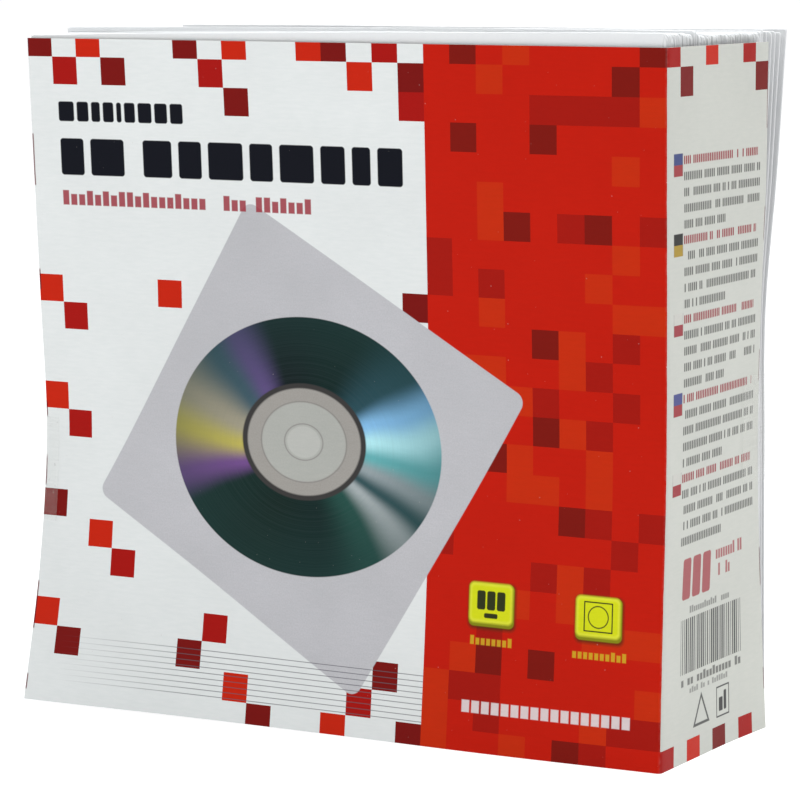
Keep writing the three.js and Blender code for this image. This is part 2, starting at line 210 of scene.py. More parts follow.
def card_point(u, v, inward=0.0):
    """A point of the card: u mm along the sheet from the front panel's left edge, v mm above its foot, and inward mm under its printed face."""
    u, v = (np.atleast_1d(np.asarray(c, float)) for c in np.broadcast_arrays(u, v))
    w = 1 - v / CARD_HEIGHT

    def flat(u):
        s = np.clip((CARD_WIDTH - u) / CARD_WIDTH, 0, 1)
        t = np.clip((u - CARD_WIDTH) / CARD_DEPTH, 0, 1)
        front = np.stack([fold_x(w) - CARD_WIDTH * s, across(FRONT_Y, s, w)], -1)
        side = np.stack([across(SIDE_X, t, w), CARD_DEPTH * t + through(FRONT_Y[0], w)], -1)
        return np.where((u < CARD_WIDTH)[:, None], front, side)

    def outer(u):
        a = flat(np.full_like(u, CARD_WIDTH - FOLD_RADIUS))
        c = flat(np.full_like(u, CARD_WIDTH + FOLD_RADIUS))
        b = np.stack([fold_x(w), through(FRONT_Y[0], w)], -1)
        q = np.clip((u - CARD_WIDTH + FOLD_RADIUS) / (2 * FOLD_RADIUS), 0, 1)[:, None]
        bend = (1 - q) ** 2 * a + 2 * q * (1 - q) * b + q**2 * c
        return np.where((np.abs(u - CARD_WIDTH) < FOLD_RADIUS)[:, None], bend, flat(u))

    here = outer(u)
    run = outer(np.minimum(u + 0.2, 165)) - outer(np.maximum(u - 0.2, 0))
    run /= np.linalg.norm(run, axis=1, keepdims=True)
    depth = np.broadcast_to(np.asarray(inward, float), u.shape)[:, None]
    here = here + depth * np.stack([-run[:, 1], run[:, 0]], -1)
    s = np.clip((CARD_WIDTH - u) / CARD_WIDTH, 0, 1)
    z = CARD_LIFT + v + CORNER_LIFT * (s * w) ** 3
    return np.concatenate([here, z[:, None]], 1)


# ---- meshes ------------------------------------------------------------------
LOW = np.array(cad_low) + 2e-6
HIGH = np.array(cad_high) - 2e-6


def piece(name, points, quads, materials, ink=None, cells=None, parts=None, smooth=True):
    """A mesh piece of quads from points in mm. ink is a vector a point, cells a colour a quad, parts a material index a quad."""
    co = np.clip((np.asarray(points) + SHIFT) / 1000, LOW, HIGH)
    quads = np.asarray(quads, dtype=np.int32)
    mesh = bpy.data.meshes.new(name)
    mesh.vertices.add(len(co))
    mesh.vertices.foreach_set("co", co.astype(np.float32).ravel())
    mesh.loops.add(quads.size)
    mesh.loops.foreach_set("vertex_index", quads.ravel())
    mesh.polygons.add(len(quads))
    mesh.polygons.foreach_set("loop_start", np.arange(0, quads.size, 4, dtype=np.int32))
    for m in materials:
        mesh.materials.append(m)
    if parts is not None:
        mesh.polygons.foreach_set("material_index", np.asarray(parts, dtype=np.int32))
    mesh.polygons.foreach_set("use_smooth", np.full(len(quads), smooth))
    mesh.update(calc_edges=True)
    mesh.validate()
    if ink is not None:
        mesh.attributes.new("ink", "FLOAT_VECTOR", "POINT").data.foreach_set(
            "vector", np.asarray(ink, np.float32).ravel()
        )
    if cells is not None:
        colour = np.ones((len(quads), 4, 4), np.float32)
        colour[:, :, :3] = np.asarray(cells, np.float32)[:, None]
        mesh.color_attributes.new("cells", "FLOAT_COLOR", "CORNER").data.foreach_set(
            "color", colour.ravel()
        )
    obj = bpy.data.objects.new(name, mesh)
    bpy.context.scene.collection.objects.link(obj)
    return obj


def sharpen(obj, degrees=40):
    """Keeps the cut edges of a smooth mesh sharp."""
    mesh = obj.data
    edges = bmesh.new()
    edges.from_mesh(mesh)
    for e in edges.edges:
        if len(e.link_faces) == 2 and e.calc_face_angle(0) > math.radians(degrees):
            e.smooth = False
    edges.to_mesh(mesh)
    edges.free()


def sheet_quads(columns, rows, first=0):
    """The quads of a grid of points, stored row by row."""
    a = first + np.arange(rows)[:, None] * (columns + 1) + np.arange(columns)[None]
    a = a.ravel()
    return np.stack([a, a + 1, a + columns + 2, a + columns + 1], 1)


def rim_of(columns, rows, first=0):
    """The points round a grid, counter-clockwise from its first."""
    w = columns + 1
    low = np.arange(columns)
    right = np.arange(rows) * w + columns
    high = rows * w + np.arange(columns, 0, -1)
    left = np.arange(rows, 0, -1) * w
    return first + np.concatenate([low, right, high, left])


def band(a, b):
    """Quads from one closed row of points to the next."""
    return np.stack([a, np.roll(a, -1), np.roll(b, -1), b], 1)


def finer(stops, step):
    """Points from each stop to the next, at most step apart."""
    out = [stops[0]]
    for a, b in zip(stops, stops[1:]):
        n = max(1, math.ceil((b - a) / step - 1e-6))
        out += [a + (b - a) * k / n for k in range(1, n + 1)]
    return np.array(out)


# ---- the printed card ------------------------------------------------------------
CELL = 5.0  # the print's squares, mm
FIRST_ROW = 118.7  # foot of its top row of squares, above the card's foot
RED_FROM = 80.0


WHITE = np.array([0.760, 0.790, 0.785])
# painted shade: the side panel's white is the card's own white, painted darker and warmer because the side takes less
# light
SHADED_SIDE_WHITE = np.array([0.625, 0.640, 0.595])
RED = np.array([0.530, 0.0085, 0.0004])
RED_LIGHT = np.array([0.555, 0.024, 0.0010])
RED_DEEP = np.array([0.365, 0.0060, 0.0014])
RED_DARK = np.array([0.205, 0.0055, 0.0018])
BRIGHT = np.array([0.560, 0.016, 0.0020])
MIDDLE = np.array([0.375, 0.0045, 0.0025])
DARK = np.array([0.190, 0.0040, 0.0028])

# Loose squares of the white fields as (column, row, paint), in an own arrangement.
LOOSE = [
    (0, 0, DARK), (1, 1, MIDDLE), (2, 0, BRIGHT), (3, 1, DARK),
    (6, 0, DARK), (7, 1, MIDDLE), (8, 0, BRIGHT), (8, 2, DARK),
    (11, 0, BRIGHT), (12, 0, DARK), (13, 1, BRIGHT), (14, 0, MIDDLE), (15, 1, DARK), (15, 2, MIDDLE),
    (0, 9, BRIGHT), (1, 10, MIDDLE), (5, 9, BRIGHT), (14, 10, MIDDLE), (15, 9, DARK),
    (0, 13, BRIGHT), (1, 14, MIDDLE), (0, 17, DARK), (2, 18, BRIGHT), (3, 19, MIDDLE),
    (0, 21, BRIGHT), (1, 22, DARK), (6, 22, DARK), (7, 21, MIDDLE), (8, 23, BRIGHT),
    (9, 24, DARK), (12, 24, BRIGHT), (13, 23, MIDDLE), (15, 24, DARK), (14, 22, DARK),
    (25, 0, MIDDLE), (28, 0, BRIGHT), (31, 0, MIDDLE), (26, 1, DARK), (32, 1, DARK),
    (25, 24, MIDDLE), (27, 24, BRIGHT), (29, 24, DARK), (31, 24, MIDDLE),
]


def mosaic(u, v):
    """The paint of the squares under points of the sheet."""
    column = np.floor(u / CELL).astype(int)
    row = np.where(v > FIRST_ROW, 0, 1 + np.floor((FIRST_ROW - v) / CELL)).astype(int)
    # the side panel's squares start from the card white painted darker and warmer as shade
    paint = np.where((column >= 25)[:, None], SHADED_SIDE_WHITE, WHITE)
    pick = np.random.default_rng(29).random((33, 25))
    for c in range(1, 33):  # dark squares stand alone
        for r in range(1, 25):
            near = max(pick[c - 1, r], pick[c, r - 1], pick[c - 1, r - 1], pick[c - 1, min(r + 1, 24)])
            if pick[c, r] >= 0.91 and near >= 0.91:
                pick[c, r] *= 0.5
    draw = pick[np.clip(column, 0, 32), np.clip(row, 0, 24)]
    red = (u > RED_FROM) & (u < CARD_WIDTH)
    tones = [(0.60, RED), (0.75, RED_LIGHT), (0.91, RED_DEEP), (2.0, RED_DARK)]
    below = 0.0
    for up_to, tone in tones:
        here = red & (draw >= below) & (draw < up_to)
        paint[here] = tone
        below = up_to
    for c, r, tone in LOOSE:
        here = (column == c) & (row == r)
        paint[here] = tone + (0.0 if c < 25 else 0.006)
    return paint


def make_card(printed, board):
    across_stops = sorted(
        set(np.arange(0, 165.1, CELL).tolist())
        | {0.35, CARD_WIDTH - 0.8, CARD_WIDTH - 0.55, CARD_WIDTH - 0.35, CARD_WIDTH - 0.18}
        | {CARD_WIDTH + 0.8, CARD_WIDTH + 0.55, CARD_WIDTH + 0.35, CARD_WIDTH + 0.18, 164.65}
    )
    up_stops = [0.0] + [FIRST_ROW - CELL * k for k in range(23, -1, -1)] + [CARD_HEIGHT]
    us, vs = finer(across_stops, 1.3), finer(up_stops, 1.3)
    nu, nv = len(us) - 1, len(vs) - 1
    u, v = (g.ravel() for g in np.meshgrid(us, vs))
    wobble = 0.03 * np.sin(u * 0.61 + 1.3) * np.sin(v * 0.47 + 0.4) * np.minimum(1, np.abs(u - CARD_WIDTH) / 8)
    crush = 0.10 * np.exp(-((u - CARD_WIDTH) / 0.5) ** 2) * np.maximum(0, np.sin(v * 0.9) * np.sin(v * 0.233 + 1.0))
    outer = card_point(u, v, 0.012 + np.abs(wobble) * 0.5 + crush)
    inner = card_point(u, v, CARD_THICKNESS)
    n = len(outer)
    face = sheet_quads(nu, nv)
    mid_u, mid_v = u[face].mean(1), v[face].mean(1)
    rim = rim_of(nu, nv)
    quads = np.concatenate([face, face[:, ::-1] + n, band(rim + n, rim)])
    ink = np.concatenate([np.stack([u, v, np.zeros(n)], 1), np.stack([u, v, np.ones(n)], 1)])
    cells = np.concatenate([mosaic(mid_u, mid_v), np.ones((len(quads) - len(face), 3))])
    parts = np.concatenate([np.zeros(len(face)), np.ones(len(quads) - len(face))])
    card = piece("printed_card_wrap", np.concatenate([outer, inner]), quads, [printed, board], ink, cells, parts)
    sharpen(card, 50)
    return card


# ---- the envelopes -------------------------------------------------------------------
HALF = ENVELOPE_WIDTH / 2


def corner(px, pz, h, radius):
    """Rounds the outline's corners off."""
    dx = np.maximum(0, np.abs(px) - (HALF - radius))
    dz = np.maximum(0, np.abs(pz) - (h / 2 - radius))
    both = (dx > 0) & (dz > 0)
    k = np.where(both, np.maximum(dx, dz) / np.maximum(np.hypot(dx, dz), 1e-9), 1.0)
    return (
        np.where(both, np.sign(px) * (HALF - radius + dx * k), px),
        np.where(both, np.sign(pz) * (h / 2 - radius + dz * k), pz),
    )


EDGE_STEPS = [0.0, 0.22, 0.5, 0.9, 1.5]


def lines(half, step):
    inner = half - EDGE_STEPS[-1]
    n = math.ceil(2 * inner / step)
    middle = np.linspace(-inner, inner, n + 1)
    edge = half - np.array(EDGE_STEPS[:-1])
    return np.concatenate([-edge, middle, edge[::-1]])


def bowed(i, px, pz, h):
    """Each leaf's own small unevenness along its edges, mm."""
    a, b, c = scatter(i, 5) * 6.28, scatter(i, 6) * 6.28, scatter(i, 7)
    out_x = 0.07 * np.sin(pz * 0.035 + a) + 0.012 * np.sin(pz * 0.11 + b)
    out_z = 0.08 * np.sin(px * 0.040 + b) + 0.03 * np.sin(px * 0.13 + a) + 0.10 * (c - 0.5)
    return px * (1 + (out_x - 0.15) / HALF), np.where(pz > 0, pz * (1 + (out_z - 0.22) / (h / 2)), pz)


def folded_leaf(i, step=8.0):
    """One pressed envelope: its closed folds all round, flat faces, lightly embossed seams. Returns points, quads, ink."""
    h = leaf_height(i)
    xs, zs = lines(HALF, step), lines(h / 2, 5.2)
    nx, nz = len(xs) - 1, len(zs) - 1
    gx, gz = (g.ravel() for g in np.meshgrid(xs, zs))
    radius = 0.35 + 0.8 * scatter(i, 4) + (0.5 if i < 8 else 0)
    thick = LEAF_THICKNESS - 0.01
    rows, ink, quads = [], [], []
    rim = rim_of(nx, nz)
    swell = 0.11

    def lay(px, pz, inset, n):
        px, pz = px * (HALF - inset) / HALF, pz * (h / 2 - inset) / (h / 2)
        px, pz = corner(px, pz, h, radius)
        px, pz = bowed(i, px, pz, h)
        return on_leaf(i, px, pz, n)

    front = lay(gx, gz, swell, 0.0)
    seam = np.minimum(HALF - np.abs(gx), gz + h / 2)
    sunk = 0.02 * np.clip((seam - 5.7) / 0.6, 0, 1)
    back = front + np.array([0, 1, 0]) * (thick - sunk)[:, None]
    front = front + np.array([0, 1, 0]) * sunk[:, None]
    count = len(front)
    points = [front, back]
    rings = []
    for k, turn_ in enumerate((-45, 0, 45)):
        t = math.radians(turn_)
        ring = lay(gx[rim], gz[rim], swell * (1 - math.cos(t)), 0.0)
        ring[:, 1] += thick / 2 + thick / 2 * math.sin(t)
        points.append(ring)
        rings.append(2 * count + k * len(rim) + np.arange(len(rim)))
    chain = [rim] + rings + [rim + count]
    face = sheet_quads(nx, nz)
    quads = [face, face[:, ::-1] + count] + [band(b, a) for a, b in zip(chain, chain[1:])]
    total = sum(len(p) for p in points)
    tone = scatter(i, 9)
    flat = np.concatenate([np.stack([gx, gz], 1)] * 2 + [np.stack([gx[rim], gz[rim]], 1)] * 3)
    ink = np.concatenate([flat, np.full((total, 1), tone)], 1)
    return np.concatenate(points), np.concatenate(quads), ink


def flap(i):
    """The closing flap, folded down over the front, as a closed sheet of its own."""
    h = leaf_height(i)
    xs = lines(HALF - 0.3, 5.0)
    zs = finer([h / 2 - FLAP_DEPTH, h / 2 - 2, h / 2 - 0.12], 3.4)
    nx, nz = len(xs) - 1, len(zs) - 1
    gx, gz = (g.ravel() for g in np.meshgrid(xs, zs))
    down = (h / 2 - gz) / FLAP_DEPTH
    taper = 1 - 0.07 * down - 0.10 * np.clip((down - 0.86) / 0.14, 0, 1) ** 2
    out_x, out_z = bowed(i, gx * taper, gz, h)
    outer = on_leaf(i, out_x, out_z, -PAPER - 0.012)
    inner = on_leaf(i, out_x, out_z, -0.012)
    n = len(outer)
    face, rim = sheet_quads(nx, nz), rim_of(nx, nz)
    quads = np.concatenate([face, face[:, ::-1] + n, band(rim + n, rim)])
    ink = np.concatenate([np.stack([gx, gz, np.full(n, scatter(i, 9))], 1)] * 2)
    return np.concatenate([outer, inner]), quads, ink


def window_leaf(i):
    """An envelope in its true form: two plies round an open pocket, folds all round, a round window in the rear one."""
    h = leaf_height(i)
    xs, zs = lines(HALF, 4.2), lines(h / 2, 4.2)
    nx, nz = len(xs) - 1, len(zs) - 1
    gx, gz = (g.ravel() for g in np.meshgrid(xs, zs))
    rim = rim_of(nx, nz)
    thick = 2 * PAPER + POCKET
    swell, radius = 0.13, (1.0 if i == 0 else 0.25)
    y = np.array([0.0, 1.0, 0.0])

    def lay(px, pz, inset):
        px, pz = px * (HALF - inset) / HALF, pz * (h / 2 - inset) / (h / 2)
        px, pz = corner(px, pz, h, radius)
        px, pz = bowed(i, px, pz, h)
        return on_leaf(i, px, pz, 0.0)

    def seam_sink(px, pz):
        return 0.03 * np.clip((np.minimum(HALF - np.abs(px), pz + h / 2) - 5.7) / 0.5, 0, 1)

    points, ink, quads = [], [], []
    at = 0

    def put(co, px, pz):
        nonlocal at
        points.append(co)
        ink.append(np.stack([px, pz, np.full(len(px), scatter(i, 9))], 1))
        start = at
        at += len(co)
        return np.arange(start, at)

    sunk = seam_sink(gx, gz)[:, None]
    plain = put(lay(gx, gz, swell) + y * sunk, gx, gz)
    plain_in = put(lay(gx, gz, swell + PAPER) + y * (PAPER + sunk), gx, gz)
    face = sheet_quads(nx, nz)
    quads += [face + plain[0], face[:, ::-1] + plain_in[0]]
    chain = [plain[0] + rim]
    for turn_ in (-60, -30, 0, 30, 60):
        t = math.radians(turn_)
        ring = lay(gx[rim], gz[rim], swell * (1 - math.cos(t)))
        chain.append(put(ring + y * (thick / 2 * (1 + math.sin(t))), gx[rim], gz[rim]))
    angle = np.arctan2(gz[rim], gx[rim])
    hole_x, hole_z = WINDOW_RADIUS * np.cos(angle), WINDOW_RADIUS * np.sin(angle)
    shares = [0, 0.05, 0.12, 0.2, 0.32, 0.45, 0.6, 0.75, 0.88, 0.95, 1.0]

    def ringed(inset, n, depth):
        rows = []
        for share in shares:
            px = (gx[rim] * (HALF - inset) / HALF) * (1 - share) + hole_x * share
            pz = (gz[rim] * (h / 2 - inset) / (h / 2)) * (1 - share) + hole_z * share
            sink = seam_sink(px, pz)[:, None] * depth
            rows.append(put(lay(px, pz, 0.0) + y * (n - sink), px, pz))
        return rows

    rear = ringed(swell, thick, 1.0)
    rear_in = ringed(swell + PAPER, thick - PAPER, 1.0)
    chain.append(rear[0])
    quads += [band(b, a) for a, b in zip(chain, chain[1:])]
    quads += [band(b, a) for a, b in zip(rear, rear[1:])]
    quads += [band(a, b) for a, b in zip(rear_in, rear_in[1:])]
    quads.append(band(rear_in[-1], rear[-1]))
    quads.append(band(plain_in[0] + rim, rear_in[0])[:, ::-1][:, ::-1])
    return np.concatenate(points), np.concatenate(quads), np.concatenate(ink)


def film_disc(i):
    """The clear film glued behind the window's rim."""
    h = leaf_height(i)
    n = 48
    a = np.linspace(-1, 1, n + 1)
    gx, gz = (g.ravel() for g in np.meshgrid(a, a))
    big = np.maximum(np.abs(gx), np.abs(gz))
    length = np.maximum(np.hypot(gx, gz), 1e-9)
    px, pz = (c * big / length * (WINDOW_RADIUS + FILM_OVERLAP) for c in (gx, gz))
    ripple = 0.006 * np.sin(px * 0.21 + 1) * np.sin(pz * 0.16 + 2) - 0.006
    base = on_leaf(i, px, pz, 0.0)
    y = np.array([0.0, 1.0, 0.0])
    # pressed a little into the pocket, so that it clears the sunken ply
    top = PAPER + POCKET - 0.034
    outer = base + y * (top + ripple)[:, None]
    inner = base + y * (top + ripple - 0.03)[:, None]
    count = len(base)
    face, rim = sheet_quads(n, n), rim_of(n, n)
    quads = np.concatenate([face + count, face[:, ::-1], band(rim, rim + count)])
    ink = np.concatenate([np.stack([px, pz, np.zeros(count)], 1)] * 2)
    return np.concatenate([outer, inner]), quads[:, ::-1], ink


def joined(parts):
    points, quads, ink, at = [], [], [], 0
    for p, q, k in parts:
        points.append(p)
        quads.append(q + at)
        ink.append(k)
        at += len(p)
    return np.concatenate(points), np.concatenate(quads), np.concatenate(ink)


def outward(obj):
    """All faces look out of the closed sheet."""
    shape = bmesh.new()
    shape.from_mesh(obj.data)
    bmesh.ops.recalc_face_normals(shape, faces=shape.faces)
    shape.to_mesh(obj.data)
    shape.free()


# ---- materials -------------------------------------------------------------------------
class Value:
    """A socket of a node tree that can be reckoned with."""

    def __init__(self, tree, socket):
        self.tree, self.socket = tree, socket

    def _do(self, kind, *others, clamp=False):
        node = self.tree.nodes.new("ShaderNodeMath")
        node.operation, node.use_clamp = kind, clamp
        for slot, value in zip(node.inputs, (self, *others)):
            if isinstance(value, Value):
                self.tree.links.new(value.socket, slot)
            else:
                slot.default_value = float(value)
        return Value(self.tree, node.outputs[0])

    def __add__(self, o):
        return self._do("ADD", o)

    def __sub__(self, o):
        return self._do("SUBTRACT", o)

    def __mul__(self, o):
        return self._do("MULTIPLY", o)

    def __truediv__(self, o):
        return self._do("DIVIDE", o)

    __radd__, __rmul__ = __add__, __mul__

    def __rsub__(self, o):
        return (self * -1.0) + o

    def abs(self):
        return self._do("ABSOLUTE")

    def floor(self):
        return self._do("FLOOR")

    def fract(self):
        return self._do("FRACT")

    def sin(self):
        return self._do("SINE")

    def least(self, o):
        return self._do("MINIMUM", o)

    def most(self, o):
        return self._do("MAXIMUM", o)

    def under(self, o):
        return self._do("LESS_THAN", o)

    def over(self, o):
        return self._do("GREATER_THAN", o)

    def ramp(self, a, b):
        """0 at a, 1 at b, straight in between."""
        return self._do("MULTIPLY_ADD", 1.0 / (b - a), -a / (b - a), clamp=True)

    def hold(self):
        return self._do("ADD", 0.0, clamp=True)


class Look:
    """A material under construction."""

    def __init__(self, name):
        self.material = bpy.data.materials.new(name)
        self.material.use_nodes = True
        self.tree = self.material.node_tree
        self.tree.nodes.clear()
        self.end = self.tree.nodes.new("ShaderNodeOutputMaterial")
        self.shader = self.tree.nodes.new("ShaderNodeBsdfPrincipled")
        self.tree.links.new(self.shader.outputs[0], self.end.inputs["Surface"])

    def set(self, **numbers):
        for name, value in numbers.items():
            self.shader.inputs[name.replace("_", " ")].default_value = value

    def link(self, value, name):
        self.tree.links.new(value.socket, self.shader.inputs[name])

    def vector_in(self, name):
        node = self.tree.nodes.new("ShaderNodeAttribute")
        node.attribute_name = name
        return Value(self.tree, node.outputs["Vector"])

    def colour_in(self, name):
        node = self.tree.nodes.new("ShaderNodeAttribute")
        node.attribute_name = name
        return Value(self.tree, node.outputs["Color"])

    def split(self, vector):
        node = self.tree.nodes.new("ShaderNodeSeparateXYZ")
        self.tree.links.new(vector.socket, node.inputs[0])
        return [Value(self.tree, o) for o in node.outputs]

    def join(self, x, y, z=0.0):
        node = self.tree.nodes.new("ShaderNodeCombineXYZ")
        for slot, value in zip(node.inputs, (x, y, z)):
            if isinstance(value, Value):
                self.tree.links.new(value.socket, slot)
            else:
                slot.default_value = value
        return Value(self.tree, node.outputs[0])

    def noise(self, vector, scale, detail=3.0, rough=0.55):
        node = self.tree.nodes.new("ShaderNodeTexNoise")
        self.tree.links.new(vector.socket, node.inputs["Vector"])
        node.inputs["Scale"].default_value = scale
        node.inputs["Detail"].default_value = detail
        node.inputs["Roughness"].default_value = rough
        return Value(self.tree, node.outputs["Fac"])

    def chance(self, vector):
        node = self.tree.nodes.new("ShaderNodeTexWhiteNoise")
        node.noise_dimensions = "3D"
        self.tree.links.new(vector.socket, node.inputs["Vector"])
        return Value(self.tree, node.outputs["Value"])

    def mix(self, share, a, b, kind="MIX"):
        node = self.tree.nodes.new("ShaderNodeMix")
        node.data_type, node.blend_type = "RGBA", kind
        for slot, value in ((node.inputs[0], share), (node.inputs[6], a), (node.inputs[7], b)):
            if isinstance(value, Value):
                self.tree.links.new(value.socket, slot)
            elif isinstance(value, (int, float)):
                slot.default_value = value
            else:
                slot.default_value = (*[float(c) for c in value], 1.0)
        return Value(self.tree, node.outputs[2])

    def bands(self, value, stops):
        node = self.tree.nodes.new("ShaderNodeValToRGB")
        ramp = node.color_ramp
        ramp.interpolation = "EASE"
        while len(ramp.elements) < len(stops):
            ramp.elements.new(0.5)
        for e, (place, colour) in zip(ramp.elements, stops):
            e.position = place
        for e, (place, colour) in zip(ramp.elements, stops):
            e.color = (*[float(c) for c in colour], 1.0)
        self.tree.links.new(value.socket, node.inputs[0])
        return Value(self.tree, node.outputs[0])

    def bump(self, height, strength, distance, after=None):
        node = self.tree.nodes.new("ShaderNodeBump")
        node.inputs["Strength"].default_value = strength
        node.inputs["Distance"].default_value = distance
        self.tree.links.new(height.socket, node.inputs["Height"])
        if after is not None:
            self.tree.links.new(after.socket, node.inputs["Normal"])
        return Value(self.tree, node.outputs[0])

    # shapes: each gives its cover, from 0 to 1, of the sheet at u, v in mm
    def bar(self, u, v, x0, y0, x1, y1, soft=0.16):
        dx = (u - (x0 + x1) / 2).abs() - (x1 - x0) / 2
        dy = (v - (y0 + y1) / 2).abs() - (y1 - y0) / 2
        return dx.most(dy).ramp(soft / 2, -soft / 2)

    def tile(self, u, v, x0, y0, x1, y1, radius, soft=0.16):
        dx = ((u - (x0 + x1) / 2).abs() - ((x1 - x0) / 2 - radius)).most(0.0)
        dy = ((v - (y0 + y1) / 2).abs() - ((y1 - y0) / 2 - radius)).most(0.0)
        away = (dx * dx + dy * dy)._do("SQRT")
        return away.ramp(radius + soft / 2, radius - soft / 2)

    def ring(self, away, radius, width, soft=0.14):
        return ((away - radius).abs() - width / 2).ramp(soft / 2, -soft / 2)

    def blocks(self, u, v, x0, y0, count, pitch, height, seed, gap=0.16, fill=0.74, tall=0.3):
        """A row of small blocks in groups."""
        at = (u - x0) / pitch
        cell = at.floor()
        pick = self.chance(self.join(cell, seed))
        other = self.chance(self.join(cell, seed, 4.0))
        side = ((at.fract() - 0.5).abs() - fill / 2) * pitch
        rise = other.under(tall) * (height * 0.34) + height
        up = ((v - y0) - rise * 0.5).abs() - rise * 0.5
        shape = side.most(up).ramp(0.08, -0.08)
        inside = ((cell - (count - 1) / 2).abs()).under(count / 2)
        return shape * inside * pick.over(gap)


